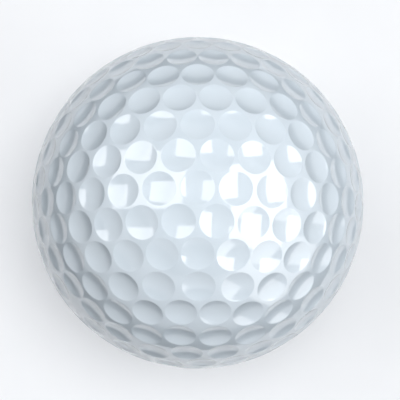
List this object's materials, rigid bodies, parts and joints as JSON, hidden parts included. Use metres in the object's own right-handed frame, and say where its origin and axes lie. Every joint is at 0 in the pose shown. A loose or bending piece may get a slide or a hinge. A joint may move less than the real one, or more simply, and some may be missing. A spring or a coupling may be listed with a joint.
{
  "type": "golf ball",
  "caption": "White dimpled golf ball with layered core, mantles and a two-half cover, for play, practice and still-life scenes.",
  "frame": {"origin": "the ball's centre", "axes": "+Z along the cover's moulding direction, square to the parting plane z = 0, towards the upper half; the dimple rows run along X, and +Y is the side the hexagonal cap leans to"},
  "size_m": [0.0426, 0.0426, 0.0426],
  "materials": {
    "cover": "white urethane under a glossy clear coat",
    "outer_mantle": "moulded ionomer",
    "inner_mantle": "moulded ionomer",
    "outer_core": "cured rubber",
    "inner_core": "cured rubber"
  },
  "bodies": {
    "root": {"cover_upper": "cover", "cover_lower": "cover", "outer_mantle_upper": "outer_mantle", "outer_mantle_lower": "outer_mantle", "inner_mantle_upper": "inner_mantle", "inner_mantle_lower": "inner_mantle", "outer_core_upper": "outer_core", "outer_core_lower": "outer_core", "inner_core": "inner_core"}
  },
  "joints": []
}
